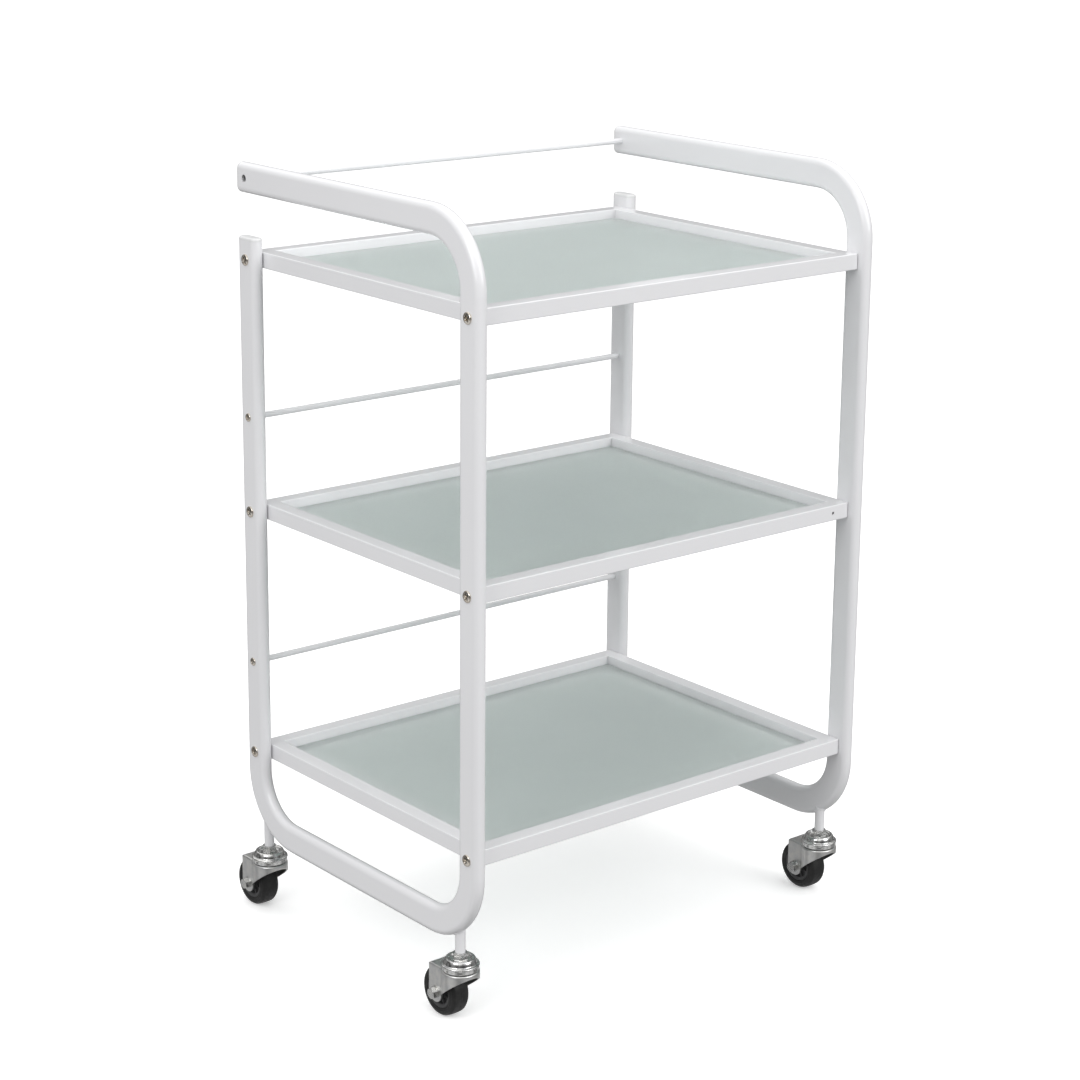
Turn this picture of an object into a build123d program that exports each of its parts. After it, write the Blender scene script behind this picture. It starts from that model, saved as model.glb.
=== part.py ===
from build123d import *
import os
from math import cos, pi, sin, sqrt

# Rolling salon trolley: two bent side frames, three glass shelves, three back rods and four casters.
# +X runs from the left side frame to the right one, -Y is the side where the handles bend down,
# +Y is the side where they end, and +Z is up. The origin is on the floor, in the middle of the footprint.

# Side frames: one bent flat-oval steel tube each
TUBE_DEPTH = 30.0
TUBE_THICKNESS = 13.0
TUBE_WALL = 1.2
BEND_RADIUS = 60.0
UPRIGHT_SPACING = 355.0
CLEAR_WIDTH = 470.0
RUN_HEIGHT = 95.0
HANDLE_HEIGHT = 763.0
HANDLE_OVERHANG = 10.0
UPRIGHT_OVERHANG = 19.0

# Shelves: a frame of square tube with a ledge that carries a glass plate
SHELF_HEIGHTS = {"bottom": 173.0, "middle": 428.0, "top": 683.0}
SHELF_DEPTH = 366.0
SHELF_TUBE = 16.0
SHELF_WALL = 1.2
LEDGE_WIDTH = 8.0
LEDGE_THICKNESS = 1.0
GLASS_THICKNESS = 5.0
GLASS_GAP = 1.0
PAD_RADIUS = 3.5
PAD_THICKNESS = 0.5
PAD_INSET = 22.0
VENT_RADIUS = 1.5
VENT_INSET = 22.0
FRAME_CORNER = 2.5
TUBE_EDGE = 1.0
GLASS_CORNER = 2.0
GLASS_BEVEL = 0.5

# Rods across the back
ROD_RADIUS = 3.0
ROD_RISE = 97.0
ROD_TAPPED = 14.0

# Plugs in the open tube ends
PLUG_CAP = 3.5
PLUG_INSERT = 14.0
PLUG_CLEARANCE = 0.1
PLUG_WALL = 2.0

# Screws: pan heads with a cross recess
SHELF_SCREW = {"head": 5.75, "rise": 3.0, "shank": 3.0, "reach": 22.0}
ROD_SCREW = {"head": 4.25, "rise": 2.4, "shank": 2.0, "reach": 23.0}
HANDLE_SCREW = {"head": 3.4, "rise": 2.0, "shank": 2.0, "reach": 11.0}
INSERT_RADIUS = 4.0
INSERT_LENGTH = 12.0
SLOT_WIDTH = 0.24
SLOT_TURN = 20.0
HOLE_CLEARANCE = 0.25
THREAD_CLEARANCE = 0.05

# Casters: a 50 mm wheel in a stamped swivel fork on a threaded stem
WHEEL_RADIUS = 25.0
TYRE_WIDTH = 20.5
HUB_RADIUS = 16.5
HUB_BOSS_RADIUS = 7.5
CASTER_TRAIL = 22.0
FORK_SHEET = 1.8
FORK_GAP = 23.0
FORK_TOP = 53.4
FORK_NECK_RADIUS = 18.6
FORK_NECK_LOW = 50.6
FORK_BEND = 1.6
FORK_LEG_WIDTH = 19.0
CAP_RADIUS = 18.5
CAP_GAP = 0.8
CAP_SHEET = 1.9
CAP_RIM_HEIGHT = 59.4
CAP_RING_HEIGHT = 66.0
KINGPIN_RADIUS = 4.0
STEM_RADIUS = 3.0
STEM_TOP = 87.5
RIVET_RADIUS = 6.5
HEX_ACROSS_FLATS = 13.0
HEX_BASE = 63.6
HEX_TOP = 71.0
BALL_RADIUS = 2.1
BALL_COUNT = 14
BALL_CIRCLE = 14.3
BALL_PLAY = 0.05
AXLE_RADIUS = 3.0
SLEEVE_RADIUS = 4.5
RUNNING_FIT = 0.08
AXLE_PROTRUSION = 5.5
AXLE_HEX = 10.0
AXLE_WASHER = 1.2
AXLE_NUT_THICKNESS = 5.0
SOCKET_RADIUS = 5.0
SOCKET_INBOARD = 3.0
WELD_OVERLAP = 6.0
FRONT_SOCKET_INSET = 22.0
BACK_SOCKET_INSET = 9.0

# Places that follow from the sizes above
FRAME_X = CLEAR_WIDTH / 2 + TUBE_THICKNESS / 2
OUTER_X = CLEAR_WIDTH / 2 + TUBE_THICKNESS
FRONT_REACH = UPRIGHT_SPACING / 2 + TUBE_DEPTH / 2
BACK_REACH = UPRIGHT_SPACING / 2 - BACK_SOCKET_INSET + CASTER_TRAIL + WHEEL_RADIUS
MID_Y = (FRONT_REACH - BACK_REACH) / 2
FRONT_Y = MID_Y - UPRIGHT_SPACING / 2
BACK_Y = MID_Y + UPRIGHT_SPACING / 2
HANDLE_END_Y = BACK_Y + HANDLE_OVERHANG
UPRIGHT_END_Z = SHELF_HEIGHTS["top"] + UPRIGHT_OVERHANG
CASTER_X = FRAME_X - SOCKET_INBOARD
SIDES = {"left": -1, "right": 1}
CASTERS = {
    "front_left": (-CASTER_X, FRONT_Y + FRONT_SOCKET_INSET),
    "front_right": (CASTER_X, FRONT_Y + FRONT_SOCKET_INSET),
    "back_left": (-CASTER_X, BACK_Y - BACK_SOCKET_INSET),
    "back_right": (CASTER_X, BACK_Y - BACK_SOCKET_INSET),
}


def along_x(shape, x, y, z):
    """Turns a shape built up +Z so that it runs along +X, and places it."""
    return Pos(x, y, z) * Rot(0, 90, 0) * shape


def rod_x(radius, start, end, y, z):
    """A round bar along X from start to end."""
    bar = Cylinder(radius, end - start, align=(Align.CENTER, Align.CENTER, Align.MIN))
    return along_x(bar, start, y, z)


# ---------------------------------------------------------------- side frames


def tube_path(x):
    """Centre line of a side frame: handle, front upright, bottom run, back upright."""
    line = FilletPolyline(
        (HANDLE_END_Y, HANDLE_HEIGHT),
        (FRONT_Y, HANDLE_HEIGHT),
        (FRONT_Y, RUN_HEIGHT),
        (BACK_Y, RUN_HEIGHT),
        (BACK_Y, UPRIGHT_END_Z),
        radius=BEND_RADIUS,
    )
    return Plane.YZ.offset(x) * line


def swept_oval(x, depth, thickness):
    """A flat-oval bar along the centre line of the side frame at x."""
    start = Plane(origin=(x, HANDLE_END_Y, HANDLE_HEIGHT), x_dir=(0, 0, 1), z_dir=(0, -1, 0))
    return sweep(start * SlotOverall(depth, thickness), path=tube_path(x))


def shelf_screw_places():
    """Where the shelf screws sit on each side frame, as (y, z) pairs."""
    return [(y, z) for z in SHELF_HEIGHTS.values() for y in (FRONT_Y, BACK_Y)]


def rod_places():
    """Where the two rods between the back uprights sit, as (y, z) pairs."""
    return [(BACK_Y, SHELF_HEIGHTS[name] + ROD_RISE) for name in ("bottom", "middle")]


def side_frame(side):
    """The hollow bent tube with its screw holes."""
    x = side * FRAME_X
    tube = swept_oval(x, TUBE_DEPTH, TUBE_THICKNESS)
    bore = swept_oval(x, TUBE_DEPTH - 2 * TUBE_WALL, TUBE_THICKNESS - 2 * TUBE_WALL)
    tube -= bore
    low = x - TUBE_THICKNESS
    high = x + TUBE_THICKNESS
    for y, z in shelf_screw_places():
        tube -= rod_x(SHELF_SCREW["shank"] + HOLE_CLEARANCE, low, high, y, z)
    for y, z in rod_places():
        tube -= rod_x(ROD_SCREW["shank"] + HOLE_CLEARANCE, low, high, y, z)
    tube -= rod_x(HANDLE_SCREW["shank"] + HOLE_CLEARANCE, low, high, BACK_Y, HANDLE_HEIGHT)
    outer_wall = sorted((x, side * 2 * OUTER_X))
    tube -= rod_x(HANDLE_SCREW["head"] + HOLE_CLEARANCE, *outer_wall, BACK_Y, HANDLE_HEIGHT)
    return tube


def end_plug():
    """A plug for an open tube end: a rounded cap above z = 0 and an insert below it."""
    cap = extrude(SlotOverall(TUBE_DEPTH, TUBE_THICKNESS), PLUG_CAP)
    cap = fillet(cap.faces().sort_by(Axis.Z)[-1].edges(), PLUG_CAP * 0.7)
    play = 2 * (TUBE_WALL + PLUG_CLEARANCE)
    insert = extrude(SlotOverall(TUBE_DEPTH - play, TUBE_THICKNESS - play), -PLUG_INSERT)
    play += 2 * PLUG_WALL
    core = extrude(SlotOverall(TUBE_DEPTH - play, TUBE_THICKNESS - play), -PLUG_INSERT)
    return cap + (insert - core)


def handle_plug(side):
    """The plug that closes the free end of a handle."""
    place = Plane(
        origin=(side * FRAME_X, HANDLE_END_Y, HANDLE_HEIGHT), x_dir=(0, 0, 1), z_dir=(0, 1, 0)
    )
    plug = place * end_plug()
    screw = HANDLE_SCREW["head"] + 1
    return plug - rod_x(screw, -2 * OUTER_X, 2 * OUTER_X, BACK_Y, HANDLE_HEIGHT)


def upright_plug(side):
    """The plug that closes the top of a back upright."""
    place = Plane(origin=(side * FRAME_X, BACK_Y, UPRIGHT_END_Z), x_dir=(0, 1, 0), z_dir=(0, 0, 1))
    plug = place * end_plug()
    top = SHELF_HEIGHTS["top"]
    return plug - rod_x(SHELF_SCREW["shank"] + 1, -2 * OUTER_X, 2 * OUTER_X, BACK_Y, top)


def caster_socket(x, y):
    """A threaded round tube welded under a bend, cut to the shape of the bend."""
    side = -1 if x < 0 else 1
    upright = FRONT_Y if y < MID_Y else BACK_Y
    from_centre = BEND_RADIUS - abs(y - upright)
    bend_z = RUN_HEIGHT + BEND_RADIUS
    surface = bend_z - sqrt((BEND_RADIUS + TUBE_DEPTH / 2) ** 2 - from_centre**2)
    height = surface + WELD_OVERLAP - HEX_TOP
    base = Align.CENTER, Align.CENTER, Align.MIN
    socket = Pos(x, y, HEX_TOP) * Cylinder(SOCKET_RADIUS, height, align=base)
    socket -= swept_oval(side * FRAME_X, TUBE_DEPTH, TUBE_THICKNESS)
    socket = socket.solids().sort_by(Axis.Z)[0]
    bore = STEM_TOP + 1 - HEX_TOP
    return socket - Pos(x, y, HEX_TOP) * Cylinder(STEM_RADIUS + THREAD_CLEARANCE, bore, align=base)


# ---------------------------------------------------------------- shelves


def plate(width, depth, low, high, corner=0.0):
    """A rectangular plate about the middle of the trolley, from height low to high."""
    face = RectangleRounded(width, depth, corner) if corner else Rectangle(width, depth)
    return Pos(0, MID_Y, low) * extrude(face, high - low)


def shelf_frame(name):
    """Four square tubes welded at the corners, with a ledge round the inside."""
    z = SHELF_HEIGHTS[name]
    low = z - SHELF_TUBE / 2
    high = z + SHELF_TUBE / 2
    inner_width = CLEAR_WIDTH - 2 * SHELF_TUBE
    inner_depth = SHELF_DEPTH - 2 * SHELF_TUBE
    ring = plate(CLEAR_WIDTH, SHELF_DEPTH, low, high, FRAME_CORNER)
    ring -= plate(inner_width, inner_depth, low - 1, high + 1)
    long_edges = ring.edges().filter_by(GeomType.LINE).filter_by(Axis.Z, reverse=True)
    ring = fillet(long_edges, TUBE_EDGE)
    wall = 2 * SHELF_WALL
    hollow = plate(CLEAR_WIDTH - wall, SHELF_DEPTH - wall, low + SHELF_WALL, high - SHELF_WALL)
    hollow -= plate(inner_width + wall, inner_depth + wall, low, high)
    ring -= hollow
    ledge = plate(inner_width + 1, inner_depth + 1, low, low + LEDGE_THICKNESS)
    ledge -= plate(inner_width - 2 * LEDGE_WIDTH, inner_depth - 2 * LEDGE_WIDTH, low - 1, high)
    frame = ring + ledge
    for side in SIDES.values():
        for y in (FRONT_Y, BACK_Y):
            start, end = sorted((side * (CLEAR_WIDTH / 2 - 5), side * (CLEAR_WIDTH / 2 + 5)))
            frame -= rod_x(INSERT_RADIUS + THREAD_CLEARANCE, start, end, y, z)
    if name == "middle":
        vent_x = CLEAR_WIDTH / 2 - VENT_INSET
        vent = Cylinder(VENT_RADIUS, 10)
        frame -= Pos(vent_x, MID_Y - SHELF_DEPTH / 2, z) * Rot(90, 0, 0) * vent
    return frame


def glass_underside(name):
    """Height of the underside of a glass plate."""
    return SHELF_HEIGHTS[name] - SHELF_TUBE / 2 + LEDGE_THICKNESS + PAD_THICKNESS


def shelf_glass(name):
    """The glass plate of one shelf, with ground edges."""
    low = glass_underside(name)
    width = CLEAR_WIDTH - 2 * (SHELF_TUBE + GLASS_GAP)
    depth = SHELF_DEPTH - 2 * (SHELF_TUBE + GLASS_GAP)
    glass = plate(width, depth, low, low + GLASS_THICKNESS, GLASS_CORNER)
    rims = glass.faces().sort_by(Axis.Z)
    return chamfer(rims[0].edges() + rims[-1].edges(), GLASS_BEVEL)


def glass_pads():
    """Four thin rubber pads under each glass plate, on the ledge."""
    x = CLEAR_WIDTH / 2 - SHELF_TUBE - LEDGE_WIDTH / 2
    y = SHELF_DEPTH / 2 - SHELF_TUBE - PAD_INSET
    base = Align.CENTER, Align.CENTER, Align.MIN
    pads = []
    for name in SHELF_HEIGHTS:
        for side_x in (-1, 1):
            for side_y in (-1, 1):
                pad = Cylinder(PAD_RADIUS, PAD_THICKNESS, align=base)
                low = glass_underside(name) - PAD_THICKNESS
                pads.append(Pos(side_x * x, MID_Y + side_y * y, low) * pad)
    return Compound(children=pads)


# ---------------------------------------------------------------- screws and rods


def pan_screw(size):
    """A pan-head screw along +Z: the head's underside at z = 0, the shank going down."""
    head, rise = size["head"], size["rise"]
    crown = rise * 0.4
    radius = (head**2 + (rise - crown) ** 2) / (2 * (rise - crown))
    outline = Polyline((0, rise), (0, 0), (head, 0), (head, crown))
    dome = RadiusArc((head, crown), (0, rise), radius)
    body = revolve(Plane.XZ * make_face(outline + dome), Axis.Z)
    slot = head * SLOT_WIDTH
    for turn in (0, 90):
        blade = Box(head * 1.15, slot, rise, align=(Align.CENTER, Align.CENTER, Align.MIN))
        body -= Pos(0, 0, rise * 0.45) * Rot(0, 0, turn + SLOT_TURN) * blade
    tip = Align.CENTER, Align.CENTER, Align.MAX
    shank = Cylinder(size["shank"], size["reach"], align=tip)
    return body + chamfer(shank.edges().sort_by(Axis.Z)[0], 0.6)


def outward(shape, side, x, y, z):
    """Places a screw so that its head faces out of the side of the trolley."""
    return Pos(side * x, y, z) * Rot(0, side * 90, 0) * shape


def shelf_screws():
    """Twelve screws that hold the shelves between the side frames."""
    screw = pan_screw(SHELF_SCREW)
    places = [(side, y, z) for side in SIDES.values() for y, z in shelf_screw_places()]
    return Compound(children=[outward(screw, side, OUTER_X, y, z) for side, y, z in places])


def threaded_inserts():
    """Twelve threaded inserts in the shelf frames, one for each shelf screw."""
    base = Align.CENTER, Align.CENTER, Align.MAX
    insert = Cylinder(INSERT_RADIUS, INSERT_LENGTH, align=base)
    insert -= Cylinder(SHELF_SCREW["shank"] + THREAD_CLEARANCE, INSERT_LENGTH, align=base)
    places = [(side, y, z) for side in SIDES.values() for y, z in shelf_screw_places()]
    half = CLEAR_WIDTH / 2
    return Compound(children=[outward(insert, side, half, y, z) for side, y, z in places])


def rod(y, z, screw):
    """A round rod between the side frames, tapped at both ends."""
    half = CLEAR_WIDTH / 2
    bar = rod_x(ROD_RADIUS, -half, half, y, z)
    bore = screw["shank"] + THREAD_CLEARANCE
    bar -= rod_x(bore, -half, -half + ROD_TAPPED, y, z)
    bar -= rod_x(bore, half - ROD_TAPPED, half, y, z)
    return bar


def rod_screws():
    """Four screws that hold the two lower rods, from outside the uprights."""
    screw = pan_screw(ROD_SCREW)
    places = [(side, y, z) for side in SIDES.values() for y, z in rod_places()]
    return Compound(children=[outward(screw, side, OUTER_X, y, z) for side, y, z in places])


def handle_rod_screws():
    """Two sunk screws that hold the top rod: their heads bear on the inner wall of the handles."""
    screw = pan_screw(HANDLE_SCREW)
    seat = CLEAR_WIDTH / 2 + TUBE_WALL
    screws = [outward(screw, side, seat, BACK_Y, HANDLE_HEIGHT) for side in SIDES.values()]
    return Compound(children=screws)


# ---------------------------------------------------------------- casters
# Each piece is built with the caster's swivel axis on Z and the floor at z = 0.


def caster_fork():
    """A stamped fork: a round neck that wraps the front, and two flat legs behind it."""
    leg_back = CASTER_TRAIL + FORK_LEG_WIDTH / 2
    half = FORK_GAP / 2 + FORK_SHEET
    plan = Circle(FORK_NECK_RADIUS) + Pos(0, leg_back / 2) * Rectangle(2 * half, leg_back)
    shell = extrude(plan, FORK_TOP)
    shell = fillet(shell.faces().sort_by(Axis.Z)[-1].edges(), FORK_BEND)
    inside = Circle(FORK_NECK_RADIUS - FORK_SHEET)
    inside += Pos(0, leg_back) * Rectangle(FORK_GAP, 2 * leg_back)
    shell -= extrude(inside, FORK_TOP - FORK_SHEET)
    front = -FORK_NECK_RADIUS - 1
    above = FORK_TOP + 1
    knee = CASTER_TRAIL - FORK_LEG_WIDTH / 2
    edge = Polyline(
        (knee, WHEEL_RADIUS),
        (front, FORK_NECK_LOW),
        (front, above),
        (leg_back, above),
        (leg_back, WHEEL_RADIUS),
    )
    foot = ThreePointArc(
        (leg_back, WHEEL_RADIUS),
        (CASTER_TRAIL, WHEEL_RADIUS - FORK_LEG_WIDTH / 2),
        (knee, WHEEL_RADIUS),
    )
    side_view = Plane.YZ.offset(-2 * FORK_NECK_RADIUS) * make_face(edge + foot)
    fork = shell & extrude(side_view, 4 * FORK_NECK_RADIUS)
    fork -= Cylinder(KINGPIN_RADIUS + RUNNING_FIT, 3 * FORK_TOP)
    fork -= rod_x(AXLE_RADIUS + RUNNING_FIT, -2 * half, 2 * half, CASTER_TRAIL, WHEEL_RADIUS)
    return fork


def raceway_cap():
    """The pressed cap over the ball race: a skirt, a rolled rim, a raised ring and a sunken centre."""
    low = FORK_TOP + CAP_GAP
    race = FORK_TOP + 2 * (BALL_RADIUS + BALL_PLAY)
    floor = HEX_BASE - CAP_SHEET
    skirt = CAP_RADIUS - CAP_SHEET
    well = BALL_CIRCLE - BALL_RADIUS
    bore = KINGPIN_RADIUS + THREAD_CLEARANCE
    outline = Polyline(
        (bore, floor),
        (well, floor),
        (well, race),
        (skirt, race),
        (skirt, low),
        (CAP_RADIUS, low),
        (CAP_RADIUS, CAP_RIM_HEIGHT),
        (CAP_RADIUS - 2, CAP_RIM_HEIGHT + 0.8),
        (CAP_RADIUS - 3.6, CAP_RING_HEIGHT),
        (CAP_RADIUS - 7.6, CAP_RING_HEIGHT),
        (CAP_RADIUS - 9.2, HEX_BASE),
        (bore, HEX_BASE),
        close=True,
    )
    face = make_face(outline)
    corners = face.vertices().filter_by(lambda v: v.Y > CAP_RIM_HEIGHT - 1 and v.X > well)
    return revolve(Plane.XZ * fillet(corners, 0.8), Axis.Z)


def caster_stem():
    """The forged stem: a riveted foot, the kingpin, a hexagon and the threaded end."""
    foot_top = FORK_TOP - FORK_SHEET - 0.4
    outline = Polyline(
        (0, foot_top - 2),
        (RIVET_RADIUS - 1, foot_top - 2),
        (RIVET_RADIUS, foot_top - 1),
        (RIVET_RADIUS, foot_top),
        (KINGPIN_RADIUS, foot_top),
        (KINGPIN_RADIUS, HEX_BASE),
        (STEM_RADIUS, HEX_BASE),
        (STEM_RADIUS, STEM_TOP - 1),
        (STEM_RADIUS - 1, STEM_TOP),
        (0, STEM_TOP),
        close=True,
    )
    body = revolve(Plane.XZ * make_face(outline), Axis.Z)
    hexagon = hex_prism(HEX_ACROSS_FLATS, HEX_TOP - HEX_BASE)
    return body + Pos(0, 0, HEX_BASE) * hexagon


def hex_prism(across_flats, height):
    """A hexagonal prism up +Z with its upper corners turned off at 30 degrees."""
    prism = extrude(RegularPolygon(across_flats / sqrt(3), 6), height)
    top_radius = across_flats * 0.49
    cone = Cone(top_radius + sqrt(3) * height, top_radius, height)
    return prism & Pos(0, 0, height / 2) * cone


def ball_ring():
    """The balls between the fork and the raceway cap."""
    z = FORK_TOP + BALL_RADIUS + BALL_PLAY
    balls = []
    for index in range(BALL_COUNT):
        turn = 2 * pi * index / BALL_COUNT
        balls.append(Pos(BALL_CIRCLE * cos(turn), BALL_CIRCLE * sin(turn), z) * Sphere(BALL_RADIUS))
    return Compound(children=balls)


def spun(face):
    """Turns a section drawn as (x, radius) about the wheel's axle."""
    return Pos(0, CASTER_TRAIL, WHEEL_RADIUS) * revolve(face, Axis.X)


def tyre():
    """The solid rubber tyre with a crowned tread and rounded shoulders."""
    half = TYRE_WIDTH / 2
    shoulder = WHEEL_RADIUS - 2.2
    edge = half - 0.6
    sides = Polyline((-edge, shoulder), (-half, HUB_RADIUS), (half, HUB_RADIUS), (edge, shoulder))
    tread = ThreePointArc((edge, shoulder), (0, WHEEL_RADIUS), (-edge, shoulder))
    face = make_face(sides + tread)
    shoulders = face.vertices().filter_by(lambda v: v.Y > HUB_RADIUS + 1)
    return spun(fillet(shoulders, 2.2))


def wheel_hub():
    """The moulded wheel: a bored boss, a thinner web and a rim that carries the tyre."""
    boss = FORK_GAP / 2 - 0.6
    web = 4.5
    rim = TYRE_WIDTH / 2 - 1.2
    bore = SLEEVE_RADIUS + RUNNING_FIT
    rim_foot = HUB_RADIUS - 3.5
    half = [(boss, bore), (boss, HUB_BOSS_RADIUS), (web, HUB_BOSS_RADIUS), (web, rim_foot)]
    half += [(rim, rim_foot), (rim, HUB_RADIUS)]
    mirrored = [(-x, r) for x, r in reversed(half)]
    return spun(make_face(Polyline(*half, *mirrored, close=True)))


def axle_sleeve():
    """The steel tube that the hub turns on, clamped between the fork legs."""
    half = FORK_GAP / 2
    sleeve = rod_x(SLEEVE_RADIUS, -half, half, CASTER_TRAIL, WHEEL_RADIUS)
    return sleeve - rod_x(AXLE_RADIUS + THREAD_CLEARANCE, -half, half, CASTER_TRAIL, WHEEL_RADIUS)


def axle_bolt():
    """The hexagon bolt that is the wheel's axle, with its head on the -X side."""
    leg = FORK_GAP / 2 + FORK_SHEET
    bolt = rod_x(AXLE_RADIUS, -leg, leg + AXLE_PROTRUSION, CASTER_TRAIL, WHEEL_RADIUS)
    bolt += rod_x(AXLE_HEX * 0.6, -leg - AXLE_WASHER, -leg, CASTER_TRAIL, WHEEL_RADIUS)
    head = Rot(0, -90, 0) * hex_prism(AXLE_HEX, AXLE_PROTRUSION - AXLE_WASHER)
    return bolt + Pos(-leg - AXLE_WASHER, CASTER_TRAIL, WHEEL_RADIUS) * head


def axle_nut():
    """The nut on the +X end of the axle bolt."""
    leg = FORK_GAP / 2 + FORK_SHEET
    nut = hex_prism(AXLE_HEX, AXLE_NUT_THICKNESS)
    nut -= Cylinder(AXLE_RADIUS + THREAD_CLEARANCE, 4 * AXLE_NUT_THICKNESS)
    return along_x(nut, leg, CASTER_TRAIL, WHEEL_RADIUS)


CASTER_PIECES = {
    "stem": caster_stem,
    "raceway_cap": raceway_cap,
    "ball_ring": ball_ring,
    "fork": caster_fork,
    "axle_bolt": axle_bolt,
    "axle_nut": axle_nut,
    "axle_sleeve": axle_sleeve,
    "wheel_hub": wheel_hub,
    "tyre": tyre,
}


# ---------------------------------------------------------------- assembly


def all_pieces():
    """Every piece of the trolley, by node name."""
    pieces = {}
    for name, side in SIDES.items():
        pieces[f"side_frame_{name}"] = side_frame(side)
        pieces[f"handle_end_plug_{name}"] = handle_plug(side)
        pieces[f"upright_end_plug_{name}"] = upright_plug(side)
    for name in SHELF_HEIGHTS:
        pieces[f"shelf_frame_{name}"] = shelf_frame(name)
        pieces[f"shelf_glass_{name}"] = shelf_glass(name)
    pieces["glass_pads"] = glass_pads()
    pieces["shelf_screws"] = shelf_screws()
    pieces["shelf_threaded_inserts"] = threaded_inserts()
    lower, upper = rod_places()
    pieces["back_rod_lower"] = rod(*lower, ROD_SCREW)
    pieces["back_rod_upper"] = rod(*upper, ROD_SCREW)
    pieces["handle_rod"] = rod(BACK_Y, HANDLE_HEIGHT, HANDLE_SCREW)
    pieces["rod_screws"] = rod_screws()
    pieces["handle_rod_screws"] = handle_rod_screws()
    for name, (x, y) in CASTERS.items():
        pieces[f"caster_socket_{name}"] = caster_socket(x, y)
        for piece, build in CASTER_PIECES.items():
            pieces[f"caster_{name}_{piece}"] = Pos(x, y, 0) * build()
    return pieces


os.makedirs("parts", exist_ok=True)
for node, shape in all_pieces().items():
    export_step(shape, f"parts/{node}.step")
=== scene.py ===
from math import cos, pi, radians, sin, sqrt, tanh

import bmesh
import bpy
from mathutils import Matrix, Vector


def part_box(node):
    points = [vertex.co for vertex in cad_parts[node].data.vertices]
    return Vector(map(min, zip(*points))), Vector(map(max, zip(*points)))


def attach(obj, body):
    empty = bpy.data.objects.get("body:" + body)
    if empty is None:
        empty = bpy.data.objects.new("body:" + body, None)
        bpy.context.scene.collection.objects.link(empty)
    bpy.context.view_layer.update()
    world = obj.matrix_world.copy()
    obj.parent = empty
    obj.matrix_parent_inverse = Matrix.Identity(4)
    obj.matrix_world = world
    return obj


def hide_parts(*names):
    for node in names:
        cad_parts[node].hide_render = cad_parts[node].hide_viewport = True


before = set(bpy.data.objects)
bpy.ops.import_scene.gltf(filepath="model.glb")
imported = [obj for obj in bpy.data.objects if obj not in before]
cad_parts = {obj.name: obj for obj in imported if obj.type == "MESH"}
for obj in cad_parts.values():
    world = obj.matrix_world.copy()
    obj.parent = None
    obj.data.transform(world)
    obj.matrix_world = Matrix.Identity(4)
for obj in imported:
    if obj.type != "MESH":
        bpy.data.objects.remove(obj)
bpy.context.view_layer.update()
MM = 0.001

# The bent tube of a side frame, as the CAD part has it
TUBE_HALF_DEPTH = 15 * MM
BEND_RADIUS = 60 * MM

# The screws: radius of head and shank and length as in the CAD part, and the pitch of the thread
SHELF_SCREW = {"head": 5.75 * MM, "shank": 3 * MM, "reach": 22 * MM, "pitch": 1 * MM}
ROD_SCREW = {"head": 4.25 * MM, "shank": 2 * MM, "reach": 23 * MM, "pitch": 0.7 * MM}
HANDLE_SCREW = {"shank": 2 * MM, "reach": 11 * MM, "pitch": 0.7 * MM}
HANDLE_SCREW_RISE = 2 * MM

# How far the first screw's recess is turned, and how much further each next one, in degrees
FIRST_SCREW_TURN = 23
SCREW_TURN_STEP = 67

# Faces round a turned piece
CASTER_SEGMENTS = 96
SCREW_SEGMENTS = 48
RECESS_SEGMENTS = 24

# The pressed cap and the wheel hub, as in the CAD part
CAP_SHEET = 1.9 * MM
CAP_BORE = 4.05 * MM
WHEEL_WEB = 4.5 * MM
HUB_BOSS_RADIUS = 7.5 * MM
HUB_PLAY = 0.08 * MM

# How far the new cap stays inside the CAD one's box, and the ribs that the CAD hub leaves out
CAP_PLAY = 0.05 * MM
HUB_RIBS = 8
HUB_RIB_THICKNESS = 1.1 * MM

# The weld bead round a caster socket
BEAD_RADIUS = 5.4 * MM
BEAD_THICKNESS = 0.8 * MM
BEAD_STATIONS = 96
BEAD_CORNERS = 10

# Grey levels against the direction's height, from straight down (-1) to straight up (1)
SKY = [(-1, 0.25), (-0.12, 0.36), (0.03, 0.78), (0.5, 0.92), (1, 0.92)]
REFLECTED_SKY = [(-1, 0.6), (-0.4, 0.45), (-0.2, 0.22), (0.12, 0.15), (0.34, 0.3), (0.62, 0.95), (0.8, 1.2)]

FLOOR_HALF = 12.0

# The camera: place in metres, and turns in degrees
CAMERA_PLACE = (-1.6037, -1.9478, 1.1331)
CAMERA_YAW = 40.27
CAMERA_PITCH = -14.43
CAMERA_ROLL = 0.76
CAMERA_LENS = 86.25
CAMERA_SENSOR = 36.0
CAMERA_SHIFT = (-0.04, -0.08)

CASTERS = ("front_left", "front_right", "back_left", "back_right")
SHELVES = ("bottom", "middle", "top")
SIDES = {"left": -1, "right": 1}


# ---------------------------------------------------------------- material helpers


def new_material(name, metallic=0.0, coat=0.0, ior=1.5):
    """An empty Principled material, its node tree and its shader."""
    material = bpy.data.materials.new(name)
    material.use_nodes = True
    tree = material.node_tree
    shader = tree.nodes["Principled BSDF"]
    shader.inputs["Metallic"].default_value = metallic
    shader.inputs["Coat Weight"].default_value = coat
    shader.inputs["Coat Roughness"].default_value = 0.07
    shader.inputs["IOR"].default_value = ior
    return material, tree, shader


def stretched(tree, scale):
    """The object's own coordinates, multiplied by scale along each axis."""
    place = tree.nodes.new("ShaderNodeTexCoord")
    mapping = tree.nodes.new("ShaderNodeMapping")
    mapping.inputs["Scale"].default_value = scale
    tree.links.new(place.outputs["Object"], mapping.inputs["Vector"])
    return mapping.outputs["Vector"]


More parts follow.
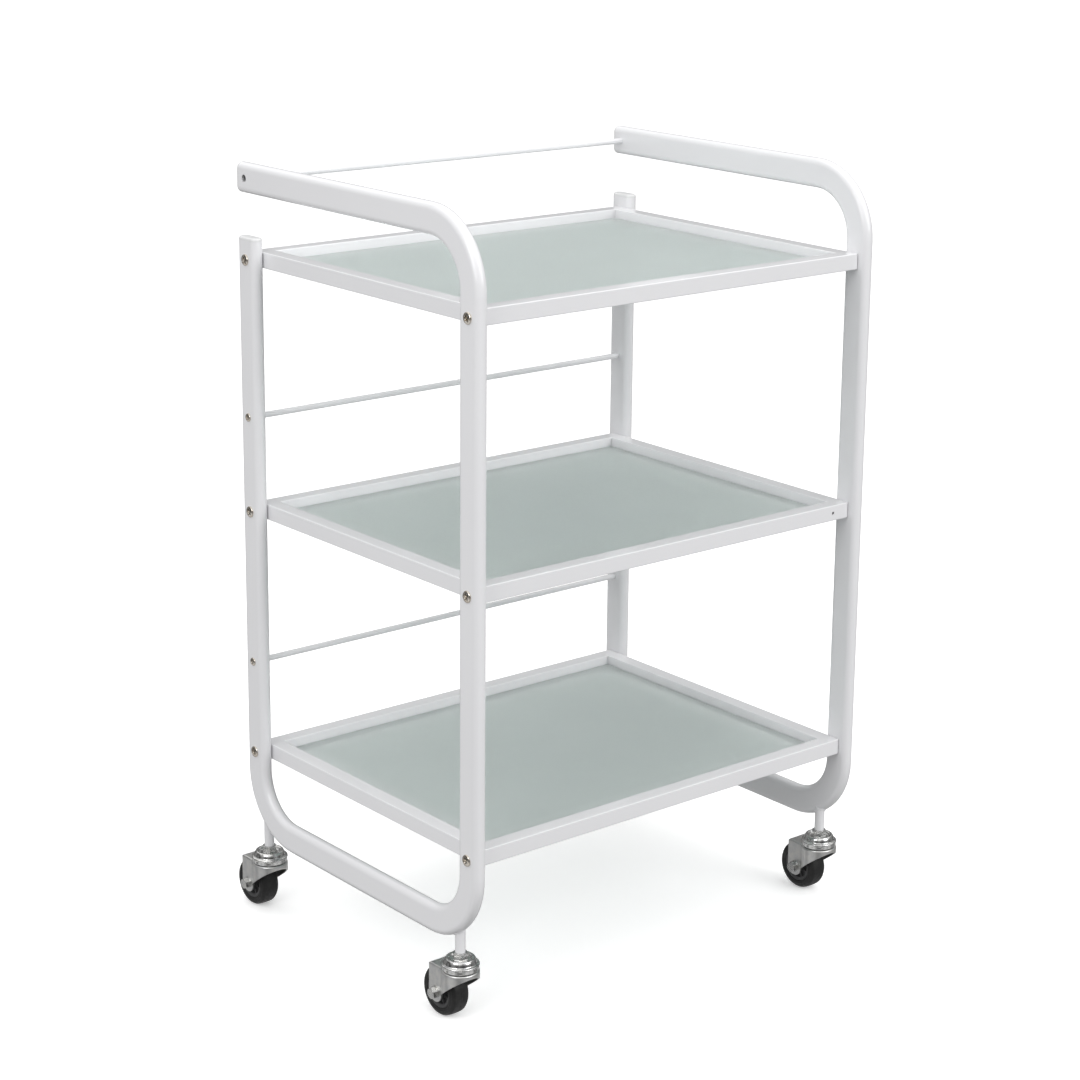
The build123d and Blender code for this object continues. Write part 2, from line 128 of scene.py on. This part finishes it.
def noise(tree, size, detail=3.0, stretch=(1, 1, 1), roughness=0.5):
    """Noise whose features are about size metres across."""
    node = tree.nodes.new("ShaderNodeTexNoise")
    node.inputs["Scale"].default_value = 1.0
    node.inputs["Detail"].default_value = detail
    node.inputs["Roughness"].default_value = roughness
    tree.links.new(stretched(tree, [axis / size for axis in stretch]), node.inputs["Vector"])
    return node.outputs["Fac"]


def remap(tree, value, low, high, start=0.3, end=0.7):
    """value from start..end mapped to low..high, clamped."""
    node = tree.nodes.new("ShaderNodeMapRange")
    node.inputs["From Min"].default_value = start
    node.inputs["From Max"].default_value = end
    node.inputs["To Min"].default_value = low
    node.inputs["To Max"].default_value = high
    tree.links.new(value, node.inputs["Value"])
    return node.outputs["Result"]


def blend_colours(tree, factor, first, second):
    """A mix of two colours, each given as three numbers or as a socket."""
    node = tree.nodes.new("ShaderNodeMix")
    node.data_type = "RGBA"
    sockets = {"Factor": node.inputs[0], "A": node.inputs[6], "B": node.inputs[7]}
    tree.links.new(factor, sockets["Factor"])
    for name, colour in (("A", first), ("B", second)):
        if isinstance(colour, bpy.types.NodeSocket):
            tree.links.new(colour, sockets[name])
        else:
            sockets[name].default_value = (*colour, 1.0)
    return node.outputs[2]


def add_bump(tree, shader, layers, edge=0.0):
    """Bump from (height, depth in metres) layers over edges rounded by edge metres."""
    normal = None
    if edge:
        rounded = tree.nodes.new("ShaderNodeBevel")
        rounded.samples = 4
        rounded.inputs["Radius"].default_value = edge
        normal = rounded.outputs["Normal"]
    for height, depth in layers:
        node = tree.nodes.new("ShaderNodeBump")
        node.inputs["Strength"].default_value = 1.0
        node.inputs["Distance"].default_value = depth
        tree.links.new(height, node.inputs["Height"])
        if normal is not None:
            tree.links.new(normal, node.inputs["Normal"])
        normal = node.outputs["Normal"]
    tree.links.new(normal, shader.inputs["Normal"])


def finish_material(tree, shader, colour, roughness):
    """Links the colour and the roughness into the shader."""
    tree.links.new(colour, shader.inputs["Base Color"])
    tree.links.new(roughness, shader.inputs["Roughness"])


# ---------------------------------------------------------------- materials


def powder_coat():
    """White powder coat: a semi-gloss film with fine orange peel and a faint drift of tone."""
    material, tree, shader = new_material("powder_coat", coat=0.5)
    drift = remap(tree, noise(tree, 0.11), 0.0, 1.0)
    colour = blend_colours(tree, drift, (0.815, 0.815, 0.832), (0.83, 0.83, 0.845))
    roughness = remap(tree, noise(tree, 0.02), 0.29, 0.33, 0.1, 0.9)
    peel = noise(tree, 0.0016, detail=1.0)
    sag = noise(tree, 0.012, detail=2.0)
    add_bump(tree, shader, [(peel, 0.000008), (sag, 0.00002)], edge=0.0006)
    finish_material(tree, shader, colour, roughness)
    return material


def painted_rim_light_mask(tree):
    """Mask for painted light: 1 at the rim of the pane, fading to 0 inside it. A paler band is painted
    there to stand in for the white ledge lit through the glass.
    """
    place = tree.nodes.new("ShaderNodeTexCoord")
    centred = tree.nodes.new("ShaderNodeVectorMath")
    centred.operation = "SUBTRACT"
    centred.inputs[1].default_value = (0.5, 0.5, 0.5)
    tree.links.new(place.outputs["Generated"], centred.inputs[0])
    outward = tree.nodes.new("ShaderNodeVectorMath")
    outward.operation = "ABSOLUTE"
    tree.links.new(centred.outputs["Vector"], outward.inputs[0])
    parts = tree.nodes.new("ShaderNodeSeparateXYZ")
    tree.links.new(outward.outputs["Vector"], parts.inputs["Vector"])
    across = remap(tree, parts.outputs["X"], 0.0, 1.0, 0.42, 0.505)
    along = remap(tree, parts.outputs["Y"], 0.0, 1.0, 0.40, 0.51)
    rim = tree.nodes.new("ShaderNodeMath")
    rim.operation = "MAXIMUM"
    tree.links.new(across, rim.inputs[0])
    tree.links.new(along, rim.inputs[1])
    soft = tree.nodes.new("ShaderNodeMath")
    soft.operation = "POWER"
    soft.inputs[1].default_value = 1.5
    tree.links.new(rim.outputs["Value"], soft.inputs[0])
    return soft.outputs["Value"]


def frosted_glass():
    """Acid-etched float glass: pale green-grey and diffusing, with darker green ground edges and a painted
    band of light along its rim.
    """
    material, tree, shader = new_material("frosted_glass", ior=1.5)
    geometry = tree.nodes.new("ShaderNodeNewGeometry")
    parts = tree.nodes.new("ShaderNodeSeparateXYZ")
    tree.links.new(geometry.outputs["Normal"], parts.inputs["Vector"])
    upright = tree.nodes.new("ShaderNodeMath")
    upright.operation = "ABSOLUTE"
    tree.links.new(parts.outputs["Z"], upright.inputs[0])
    face = remap(tree, upright.outputs["Value"], 0.0, 1.0, 0.2, 0.9)
    cloud = remap(tree, noise(tree, 0.07), 0.0, 1.0)
    pale = blend_colours(tree, cloud, (0.66, 0.72, 0.705), (0.675, 0.735, 0.72))
    # Painted light: a paler band along the rim of the pane, standing in for the white rails and ledge lit
    # through the frosted glass
    lit = blend_colours(tree, painted_rim_light_mask(tree), pale, (0.85, 0.88, 0.875))
    colour = blend_colours(tree, face, (0.40, 0.58, 0.52), lit)
    roughness = remap(tree, noise(tree, 0.0012, detail=2.0), 0.46, 0.56)
    etch = noise(tree, 0.0005, detail=2.0)
    add_bump(tree, shader, [(etch, 0.00001)])
    finish_material(tree, shader, colour, roughness)
    shader.inputs["Transmission Weight"].default_value = 0.55
    return material


def zinc_plate(name, grain=(1, 1, 1), tone=0.0, roughness=(0.22, 0.36), dent=0.00005):
    """Bright zinc plate with drawn or rolled grain along the short axis of grain."""
    material, tree, shader = new_material(name, metallic=1.0)
    cloud = remap(tree, noise(tree, 0.006), 0.0, 1.0)
    base = (0.56 + tone, 0.565 + tone, 0.57 + tone)
    warm = (0.68 + tone, 0.675 + tone, 0.65 + tone)
    colour = blend_colours(tree, cloud, base, warm)
    lines = noise(tree, 0.0011, detail=4.0, stretch=grain, roughness=0.65)
    rough = remap(tree, lines, *roughness)
    dents = noise(tree, 0.004, detail=2.0)
    add_bump(tree, shader, [(lines, dent / 4), (dents, dent)], edge=0.0004)
    finish_material(tree, shader, colour, rough)
    return material


def nickel():
    """Polished nickel plate on the screws, slightly warm and faintly scuffed."""
    material, tree, shader = new_material("nickel_screw", metallic=1.0)
    cloud = remap(tree, noise(tree, 0.003), 0.0, 1.0)
    colour = blend_colours(tree, cloud, (0.62, 0.55, 0.46), (0.80, 0.76, 0.70))
    roughness = remap(tree, noise(tree, 0.0008), 0.08, 0.2)
    add_bump(tree, shader, [(noise(tree, 0.0012), 0.00001)])
    finish_material(tree, shader, colour, roughness)
    return material


def black_rubber():
    """Moulded black rubber with a fine matte skin and a little dust in the tread."""
    material, tree, shader = new_material("tyre_rubber")
    dust = remap(tree, noise(tree, 0.009, detail=5.0), 0.0, 1.0, 0.45, 0.75)
    colour = blend_colours(tree, dust, (0.009, 0.009, 0.009), (0.022, 0.022, 0.021))
    roughness = remap(tree, noise(tree, 0.003), 0.42, 0.62)
    grain = noise(tree, 0.0005, detail=2.0)
    add_bump(tree, shader, [(grain, 0.00003)])
    finish_material(tree, shader, colour, roughness)
    return material


def moulded_plastic(name, dark, light, roughness, edge=0.0003):
    """Moulded plastic with a spark-eroded texture."""
    material, tree, shader = new_material(name)
    colour = blend_colours(tree, remap(tree, noise(tree, 0.01), 0.0, 1.0), dark, light)
    rough = remap(tree, noise(tree, 0.002), *roughness)
    add_bump(tree, shader, [(noise(tree, 0.0004, detail=2.0), 0.00002)], edge=edge)
    finish_material(tree, shader, colour, rough)
    return material


def floor_paint():
    """A plain pale studio floor."""
    material, tree, shader = new_material("studio_floor")
    tone = remap(tree, noise(tree, 0.8), 0.0, 1.0)
    colour = blend_colours(tree, tone, (0.93, 0.93, 0.93), (0.945, 0.945, 0.945))
    finish_material(tree, shader, colour, remap(tree, noise(tree, 0.3), 0.85, 0.95))
    shader.inputs["Specular IOR Level"].default_value = 0.1
    shader.inputs["Emission Color"].default_value = (1, 1, 1, 1)
    shader.inputs["Emission Strength"].default_value = 0.34
    return material


COAT = powder_coat()
GLASS = frosted_glass()
SHEET_ZINC = zinc_plate("fork_zinc", grain=(1, 1, 0.06), tone=0.08, roughness=(0.28, 0.44))
TURNED_ZINC = zinc_plate("cap_zinc", tone=0.08, roughness=(0.12, 0.2), dent=0.000015)
BOLT_ZINC = zinc_plate("bolt_zinc", tone=-0.05, roughness=(0.2, 0.32), dent=0.00002)
NICKEL = nickel()
RUBBER = black_rubber()
HUB_PLASTIC = moulded_plastic("hub_plastic", (0.06, 0.06, 0.062), (0.075, 0.075, 0.077), (0.36, 0.5))
WHITE_PLASTIC = moulded_plastic("plug_plastic", (0.76, 0.765, 0.77), (0.79, 0.79, 0.79), (0.3, 0.42))
PAD_RUBBER = moulded_plastic("pad_rubber", (0.10, 0.11, 0.11), (0.13, 0.14, 0.14), (0.5, 0.65))


def paint(node, material):
    """Gives a carried-over CAD node its material."""
    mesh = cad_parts[node].data
    mesh.materials.clear()
    mesh.materials.append(material)


def paint_all():
    """Gives every CAD node its material, also those that a detailed piece replaces."""
    for side in SIDES:
        paint(f"side_frame_{side}", COAT)
        paint(f"handle_end_plug_{side}", WHITE_PLASTIC)
        paint(f"upright_end_plug_{side}", WHITE_PLASTIC)
    for shelf in SHELVES:
        paint(f"shelf_frame_{shelf}", COAT)
        paint(f"shelf_glass_{shelf}", GLASS)
    for rod in ("back_rod_lower", "back_rod_upper", "handle_rod"):
        paint(rod, COAT)
    for screws in ("shelf_screws", "rod_screws", "handle_rod_screws"):
        paint(screws, NICKEL)
    paint("glass_pads", PAD_RUBBER)
    paint("shelf_threaded_inserts", BOLT_ZINC)
    for caster in CASTERS:
        paint(f"caster_socket_{caster}", COAT)
        looks = {
            "stem": BOLT_ZINC,
            "raceway_cap": TURNED_ZINC,
            "ball_ring": BOLT_ZINC,
            "fork": SHEET_ZINC,
            "axle_bolt": BOLT_ZINC,
            "axle_nut": BOLT_ZINC,
            "axle_sleeve": BOLT_ZINC,
            "wheel_hub": HUB_PLASTIC,
            "tyre": RUBBER,
        }
        for piece, material in looks.items():
            paint(f"caster_{caster}_{piece}", material)


paint_all()


# ---------------------------------------------------------------- mesh helpers


def add_object(name, mesh, material):
    """Links a mesh into the scene as an object with one material."""
    mesh.materials.append(material)
    made = bpy.data.objects.new(name, mesh)
    bpy.context.scene.collection.objects.link(made)
    return made


def smooth(mesh, sharp_degrees=32):
    """Smooth shading that keeps the edges sharper than sharp_degrees."""
    mesh.shade_smooth()
    mesh.set_sharp_from_angle(angle=radians(sharp_degrees))


def rounded(points, radius, closed=False, steps=4):
    """The polyline with each corner turned into a curve that starts radius away from it."""
    count = len(points)
    path = []
    for index, corner in enumerate(points):
        if not closed and index in (0, count - 1):
            path.append(Vector(corner))
            continue
        here = Vector(corner)
        before = Vector(points[index - 1])
        after = Vector(points[(index + 1) % count])
        start = here + (before - here).normalized() * min(radius, (before - here).length * 0.45)
        end = here + (after - here).normalized() * min(radius, (after - here).length * 0.45)
        for step in range(steps + 1):
            t = step / steps
            path.append(start * (1 - t) ** 2 + here * (2 * t * (1 - t)) + end * t**2)
    return path


def lathe(profile, segments=72, closed=False):
    """A bmesh turned about Z from (radius, height) points, in metres."""
    shape = bmesh.new()
    rings = []
    for index in range(segments):
        turn = 2 * pi * index / segments
        ring = [shape.verts.new((r * cos(turn), r * sin(turn), h)) for r, h in profile]
        rings.append(ring)
    spans = len(profile) if closed else len(profile) - 1
    for index in range(segments):
        this, following = rings[index], rings[(index + 1) % segments]
        for step in range(spans):
            onward = (step + 1) % len(profile)
            shape.faces.new((this[step], following[step], following[onward], this[onward]))
    bmesh.ops.remove_doubles(shape, verts=shape.verts, dist=1e-7)
    bmesh.ops.recalc_face_normals(shape, faces=shape.faces)
    return shape


def to_mesh(shape, name, sharp_degrees=32):
    """Turns a bmesh into a smooth-shaded mesh, and frees the bmesh."""
    mesh = bpy.data.meshes.new(name)
    shape.to_mesh(mesh)
    shape.free()
    smooth(mesh, sharp_degrees)
    return mesh


def copies(mesh, name, places):
    """One mesh that holds a copy of mesh at each of the given matrices."""
    shape = bmesh.new()
    for place in places:
        copy = mesh.copy()
        copy.transform(place)
        shape.from_mesh(copy)
        bpy.data.meshes.remove(copy)
    made = bpy.data.meshes.new(name)
    shape.to_mesh(made)
    shape.free()
    smooth(made)
    return made


def box_centre(node):
    """The centre of a CAD node's box."""
    low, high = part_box(node)
    return (low + high) / 2


# ---------------------------------------------------------------- screws


def tapered_blade(length, tip, width, top, bottom):
    """A bar that narrows from top to bottom: two opposite wings of a cross recess."""
    shape = bmesh.new()
    rings = []
    for height, reach, half in ((bottom, tip, width * 0.6), (top, length, width)):
        corners = [(-reach, -half), (reach, -half), (reach, half), (-reach, half)]
        rings.append([shape.verts.new((x, y, height)) for x, y in corners])
    shape.faces.new(rings[0][::-1])
    shape.faces.new(rings[1])
    for index in range(4):
        onward = (index + 1) % 4
        shape.faces.new((rings[0][index], rings[0][onward], rings[1][onward], rings[1][index]))
    return shape


def cut(shape, cutters):
    """The bmesh with each cutter bmesh taken out of it, as a mesh."""
    body = bpy.data.objects.new("body", to_mesh(shape, "body"))
    bpy.context.scene.collection.objects.link(body)
    tools = []
    for index, cutter in enumerate(cutters):
        tool = bpy.data.objects.new("cutter", to_mesh(cutter, "cutter"))
        bpy.context.scene.collection.objects.link(tool)
        tools.append(tool)
        modifier = body.modifiers.new(f"cut_{index}", "BOOLEAN")
        modifier.operation = "DIFFERENCE"
        modifier.solver = "EXACT"
        modifier.object = tool
    evaluated = body.evaluated_get(bpy.context.evaluated_depsgraph_get())
    mesh = bpy.data.meshes.new_from_object(evaluated)
    for item in [body, *tools]:
        bpy.data.objects.remove(item)
    return mesh


def cross_recess(head, rise):
    """The three shapes that are cut out of a screw head: two crossed blades and a tapered middle."""
    blade = (head * 0.6, head * 0.24, head * 0.13, rise * 1.2, -rise * 0.2)
    along = tapered_blade(*blade)
    across = tapered_blade(*blade)
    bmesh.ops.rotate(across, verts=across.verts, matrix=Matrix.Rotation(pi / 2, 3, "Z"))
    middle = [(0, rise * 1.2), (head * 0.36, rise * 1.2), (head * 0.14, 0), (0, -rise * 0.3)]
    return [across, along, lathe(middle, RECESS_SEGMENTS)]


def pan_screw(head, rise, shank, reach, pitch):
    """A pan-head screw up +Z with a cross recess and a ribbed shank, its seat at z = 0."""
    dome = [(0, rise), (head * 0.55, rise * 0.9), (head * 0.9, rise * 0.6), (head, rise * 0.3), (head, 0)]
    profile = rounded(dome, head * 0.3, steps=5) + [Vector((shank, 0))]
    turns = int((reach - 2 * pitch) / pitch)
    for turn in range(turns):
        profile.append(Vector((shank, -(turn + 0.2) * pitch)))
        profile.append(Vector((shank * 0.86, -(turn + 0.7) * pitch)))
    profile.append(Vector((shank * 0.8, -reach + pitch * 0.8)))
    profile.append(Vector((shank * 0.5, -reach)))
    profile.append(Vector((0, -reach)))
    return cut(lathe(profile, SCREW_SEGMENTS), cross_recess(head, rise))


def screw_group(node, screw, seat, places):
    """Screws at (side, y, z) places with their heads outward, in place of the CAD node."""
    turns = []
    for index, (side, y, z) in enumerate(places):
        outward = Matrix.Rotation(side * pi / 2, 4, "Y")
        spin = Matrix.Rotation(radians(FIRST_SCREW_TURN + SCREW_TURN_STEP * index), 4, "Z")
        turns.append(Matrix.Translation((side * seat, y, z)) @ outward @ spin)
    group = add_object(f"{node}_detailed", copies(screw, node, turns), NICKEL)
    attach(group, "trolley_frame")
    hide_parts(node)


def make_screws():
    """Detailed screws at the places of the CAD ones."""
    low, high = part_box("shelf_screws")
    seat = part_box("side_frame_right")[1].x
    head = SHELF_SCREW["head"]
    levels = [low.z + head, (low.z + high.z) / 2, high.z - head]
    places = [(side, y, z) for side in (-1, 1) for y in (low.y + head, high.y - head) for z in levels]
    screw_group("shelf_screws", pan_screw(rise=high.x - seat, **SHELF_SCREW), seat, places)

    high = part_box("rod_screws")[1]
    rods = [box_centre("back_rod_lower"), box_centre("back_rod_upper")]
    places = [(side, rod.y, rod.z) for side in (-1, 1) for rod in rods]
    screw_group("rod_screws", pan_screw(rise=high.x - seat, **ROD_SCREW), seat, places)

    low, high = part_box("handle_rod_screws")
    rod = box_centre("handle_rod")
    screw = pan_screw(head=(high.z - low.z) / 2, rise=HANDLE_SCREW_RISE, **HANDLE_SCREW)
    places = [(side, rod.y, rod.z) for side in (-1, 1)]
    screw_group("handle_rod_screws", screw, high.x - HANDLE_SCREW_RISE, places)


# ---------------------------------------------------------------- casters


def cap_mesh(radius, low, ring):
    """The pressed cap: skirt, rolled rim, raised ring and sunken centre, about its own axis."""
    rim = low + 5.2 * MM
    skirt = radius - 0.5 * MM
    outline = [
        (CAP_BORE, ring - 4.3 * MM),
        (radius - 6.3 * MM, ring - 4.3 * MM),
        (radius - 6.3 * MM, low + 3.5 * MM),
        (skirt - CAP_SHEET, low + 3.5 * MM),
        (skirt - CAP_SHEET, low),
        (skirt, low),
        (skirt, rim - 1.3 * MM),
        (radius + 0.1 * MM, rim - 0.6 * MM),
        (radius, rim + 0.4 * MM),
        (radius - 1.2 * MM, rim + 1.0 * MM),
        (radius - 2.4 * MM, rim + 1.1 * MM),
        (radius - 3.3 * MM, ring - 2.2 * MM),
        (radius - 4.6 * MM, ring + 0.1 * MM),
        (radius - 7.2 * MM, ring - 0.1 * MM),
        (radius - 8.8 * MM, ring - 2.2 * MM),
        (radius - 10.4 * MM, ring - 2.5 * MM),
        (CAP_BORE, ring - 2.4 * MM),
    ]
    section = rounded(outline, 1.1 * MM, closed=True)
    return to_mesh(lathe(section, CASTER_SEGMENTS, closed=True), "cap", 50)


def tyre_mesh(half, radius, hub_radius):
    """The tyre about Z: dished side walls with a raised ring, round shoulders and a parting line."""
    side = [
        (hub_radius, half - 0.9 * MM),
        (hub_radius + 0.8 * MM, half - 0.25 * MM),
        (hub_radius + 2.2 * MM, half - 0.3 * MM),
        (hub_radius + 2.6 * MM, half),
        (hub_radius + 3.4 * MM, half),
        (hub_radius + 3.8 * MM, half - 0.3 * MM),
        (radius - 2.6 * MM, half - 0.5 * MM),
        (radius - 0.5 * MM, half - 3.2 * MM),
        (radius - 0.1 * MM, half * 0.3),
        (radius - 0.12 * MM, 0.3 * MM),
        (radius, 0.15 * MM),
    ]
    other = [(r, -h) for r, h in reversed(side)]
    section = rounded(side + other, 0.9 * MM, closed=True)
    return to_mesh(lathe(section, CASTER_SEGMENTS, closed=True), "tyre", 60)


def hub_mesh(half, radius, boss, bore):
    """The moulded wheel about Z: a rim lip, a dished web with ribs, and a boss on a bore."""
    side = [
        (bore, boss),
        (HUB_BOSS_RADIUS, boss),
        (HUB_BOSS_RADIUS + 0.3 * MM, WHEEL_WEB),
        (radius - 3.7 * MM, WHEEL_WEB),
        (radius - 3.2 * MM, half - 1.9 * MM),
        (radius - 1.6 * MM, half - 1.6 * MM),
        (radius - 1.4 * MM, half - 1.1 * MM),
        (radius, half - 0.9 * MM),
    ]
    other = [(r, -h) for r, h in reversed(side)]
    section = rounded(side + other, 0.35 * MM, closed=True, steps=3)
    shape = lathe(section, CASTER_SEGMENTS, closed=True)
    rib_end = radius - 3 * MM
    size = Matrix.Diagonal((rib_end - HUB_BOSS_RADIUS, HUB_RIB_THICKNESS, 3 * MM, 1))
    along = (rib_end + HUB_BOSS_RADIUS) / 2
    for index in range(HUB_RIBS):
        turn = Matrix.Rotation(2 * pi * (index + 0.5) / HUB_RIBS, 4, "Z")
        for face in (-1, 1):
            bar = bmesh.ops.create_cube(shape, size=1.0)["verts"]
            place = Matrix.Translation((along, 0, face * (WHEEL_WEB + 1 * MM)))
            bmesh.ops.transform(shape, matrix=turn @ place @ size, verts=bar)
    return to_mesh(shape, "hub", 40)


def on_axle(mesh, centre):
    """Turns a mesh made about Z so that its axis is X, and moves it to centre."""
    mesh.transform(Matrix.Translation(centre) @ Matrix.Rotation(pi / 2, 4, "Y"))
    return mesh


def make_caster(name):
    """Detailed cap, tyre and hub for one caster."""
    low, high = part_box(f"caster_{name}_raceway_cap")
    mesh = cap_mesh((high.x - low.x) / 2 - CAP_PLAY, low.z, high.z - CAP_PLAY)
    centre = box_centre(f"caster_{name}_raceway_cap")
    mesh.transform(Matrix.Translation((centre.x, centre.y, 0)))
    cap = add_object(f"caster_{name}_cap_detailed", mesh, TURNED_ZINC)
    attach(cap, "trolley_frame")
    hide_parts(f"caster_{name}_raceway_cap")

    low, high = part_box(f"caster_{name}_tyre")
    centre = (low + high) / 2
    half = (high.x - low.x) / 2
    radius = (high.z - low.z) / 2
    hub_low, hub_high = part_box(f"caster_{name}_wheel_hub")
    hub_radius = (hub_high.z - hub_low.z) / 2
    mesh = on_axle(tyre_mesh(half, radius, hub_radius), centre)
    tyre = add_object(f"caster_{name}_tyre_detailed", mesh, RUBBER)
    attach(tyre, f"wheel_{name}")
    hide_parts(f"caster_{name}_tyre")

    sleeve_low, sleeve_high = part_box(f"caster_{name}_axle_sleeve")
    bore = (sleeve_high.z - sleeve_low.z) / 2 + HUB_PLAY
    mesh = on_axle(hub_mesh(half, hub_radius, (hub_high.x - hub_low.x) / 2, bore), centre)
    hub = add_object(f"caster_{name}_hub_detailed", mesh, HUB_PLASTIC)
    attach(hub, f"wheel_{name}")
    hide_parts(f"caster_{name}_wheel_hub")


# ---------------------------------------------------------------- weld beads


def tube_underside(name, side):
    """A function that gives the height of the bent tube's underside at (x, y), near one socket."""
    tube_low, tube_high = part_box(f"side_frame_{'left' if side < 0 else 'right'}")
    tube_x = (tube_low.x + tube_high.x) / 2
    round_half = (tube_high.x - tube_low.x) / 2
    flat_half = TUBE_HALF_DEPTH - round_half
    bend_z = tube_low.z + TUBE_HALF_DEPTH + BEND_RADIUS
    if name.startswith("front"):
        bend_y = tube_low.y + TUBE_HALF_DEPTH + BEND_RADIUS
    else:
        bend_y = box_centre("back_rod_lower").y - BEND_RADIUS
    limit = round_half * 0.9

    def height(x, y):
        aside = limit * tanh((x - tube_x) / limit)
        depth = flat_half + sqrt(round_half**2 - aside**2)
        return bend_z - sqrt((BEND_RADIUS + depth) ** 2 - (y - bend_y) ** 2)

    return height


def make_weld_bead(name):
    """A rippled bead round the top of a caster socket, lying on the underside of the bent tube."""
    side = -1 if name.endswith("left") else 1
    socket = box_centre(f"caster_socket_{name}")
    height = tube_underside(name, side)
    shape = bmesh.new()
    rings = []
    for station in range(BEAD_STATIONS):
        turn = 2 * pi * station / BEAD_STATIONS
        x = socket.x + BEAD_RADIUS * cos(turn)
        y = socket.y + BEAD_RADIUS * sin(turn)
        z = height(x, y)
        ripple = 1 + 0.13 * abs(sin(9 * turn)) + 0.08 * sin(5 * turn + side)
        thick = BEAD_THICKNESS * ripple
        ring = []
        for corner in range(BEAD_CORNERS):
            a = 2 * pi * corner / BEAD_CORNERS
            out = thick * cos(a)
            place = (x + out * cos(turn), y + out * sin(turn), z + thick * sin(a))
            ring.append(shape.verts.new(place))
        rings.append(ring)
    for station in range(BEAD_STATIONS):
        this = rings[station]
        following = rings[(station + 1) % BEAD_STATIONS]
        for corner in range(BEAD_CORNERS):
            onward = (corner + 1) % BEAD_CORNERS
            shape.faces.new((this[corner], following[corner], following[onward], this[onward]))
    bmesh.ops.recalc_face_normals(shape, faces=shape.faces)
    bead = add_object(f"weld_bead_{name}", to_mesh(shape, "bead", 60), COAT)
    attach(bead, "trolley_frame")


make_screws()
for caster in CASTERS:
    make_caster(caster)
    make_weld_bead(caster)


# ---------------------------------------------------------------- stage, light and camera


def make_floor():
    """A wide floor that the light falls on, and that throws no light back on the trolley."""
    signs = ((-1, -1), (1, -1), (1, 1), (-1, 1))
    corners = [(x * FLOOR_HALF, y * FLOOR_HALF, 0) for x, y in signs]
    mesh = bpy.data.meshes.new("floor")
    mesh.from_pydata(corners, [], [(0, 1, 2, 3)])
    floor = add_object("floor", mesh, floor_paint())
    floor.visible_diffuse = False
    floor.visible_glossy = False


def level_ramp(tree, height, stops):
    """Blends grey levels by the height of the direction that a ray comes from."""
    ramp = tree.nodes.new("ShaderNodeValToRGB")
    elements = ramp.color_ramp.elements
    elements.remove(elements[0])
    for index, (position, level) in enumerate(stops):
        stop = elements[0] if index == 0 else elements.new((position + 1) / 2)
        stop.position = (position + 1) / 2
        stop.color = (level, level, level, 1)
    tree.links.new(remap(tree, height, 0.0, 1.0, -1.0, 1.0), ramp.inputs["Fac"])
    return ramp.outputs["Color"]


def make_world():
    """A white studio for the camera and for soft light, with dark flags in what metal reflects."""
    world = bpy.data.worlds.new("studio")
    bpy.context.scene.world = world
    world.use_nodes = True
    tree = world.node_tree
    background = tree.nodes["Background"]
    place = tree.nodes.new("ShaderNodeTexCoord")
    parts = tree.nodes.new("ShaderNodeSeparateXYZ")
    tree.links.new(place.outputs["Generated"], parts.inputs["Vector"])
    soft = level_ramp(tree, parts.outputs["Z"], SKY)
    mirrored = level_ramp(tree, parts.outputs["Z"], REFLECTED_SKY)
    patches = tree.nodes.new("ShaderNodeTexNoise")
    patches.inputs["Scale"].default_value = 2.6
    patches.inputs["Detail"].default_value = 1.0
    tree.links.new(place.outputs["Generated"], patches.inputs["Vector"])
    flags = remap(tree, patches.outputs["Fac"], 0.35, 1.6, 0.40, 0.62)
    broken = tree.nodes.new("ShaderNodeVectorMath")
    broken.operation = "SCALE"
    tree.links.new(mirrored, broken.inputs[0])
    tree.links.new(flags, broken.inputs["Scale"])
    path = tree.nodes.new("ShaderNodeLightPath")
    unseen = blend_colours(tree, path.outputs["Is Glossy Ray"], soft, broken.outputs["Vector"])
    seen = blend_colours(tree, path.outputs["Is Camera Ray"], unseen, (1, 1, 1))
    tree.links.new(seen, background.inputs["Color"])
    background.inputs["Strength"].default_value = 1.0


def softbox(name, place, target, width, height, power):
    """A rectangular softbox that faces target."""
    light = bpy.data.lights.new(name, "AREA")
    light.shape = "RECTANGLE"
    light.size = width
    light.size_y = height
    light.energy = power
    lamp = bpy.data.objects.new(name, light)
    lamp.location = place
    lamp.rotation_euler = (Vector(target) - Vector(place)).to_track_quat("-Z", "Y").to_euler()
    bpy.context.scene.collection.objects.link(lamp)


def make_lights():
    """Three softboxes: in front and above for the tops and fronts, at the left for the sides."""
    middle = (0, 0, 0.4)
    upper_middle = (0, 0, 0.6)
    softbox("softbox_front", (0.9, -2.6, 1.7), middle, 1.6, 1.6, 27)
    softbox("softbox_left", (-1.7, -0.5, 1.25), upper_middle, 0.9, 0.9, 8.5)
    softbox("softbox_above", (0.1, 0.1, 2.8), middle, 2.0, 2.0, 13)


def make_camera():
    """A long lens at chest height, turned to the trolley's front left corner and aimed down at it."""
    yaw = radians(CAMERA_YAW)
    pitch = radians(CAMERA_PITCH)
    roll = radians(CAMERA_ROLL)
    forward = Vector((sin(yaw) * cos(pitch), cos(yaw) * cos(pitch), sin(pitch)))
    level = Vector((cos(yaw), -sin(yaw), 0))
    upward = level.cross(forward)
    right = level * cos(roll) + upward * sin(roll)
    top = upward * cos(roll) - level * sin(roll)
    data = bpy.data.cameras.new("camera")
    data.lens = CAMERA_LENS
    data.sensor_width = CAMERA_SENSOR
    data.shift_x, data.shift_y = CAMERA_SHIFT
    camera = bpy.data.objects.new("camera", data)
    turn = Matrix((right, top, -forward)).transposed()
    camera.matrix_world = Matrix.Translation(CAMERA_PLACE) @ turn.to_4x4()
    bpy.context.scene.collection.objects.link(camera)
    bpy.context.scene.camera = camera


make_floor()
make_world()
make_lights()
make_camera()
bpy.context.scene.view_settings.view_transform = "Standard"
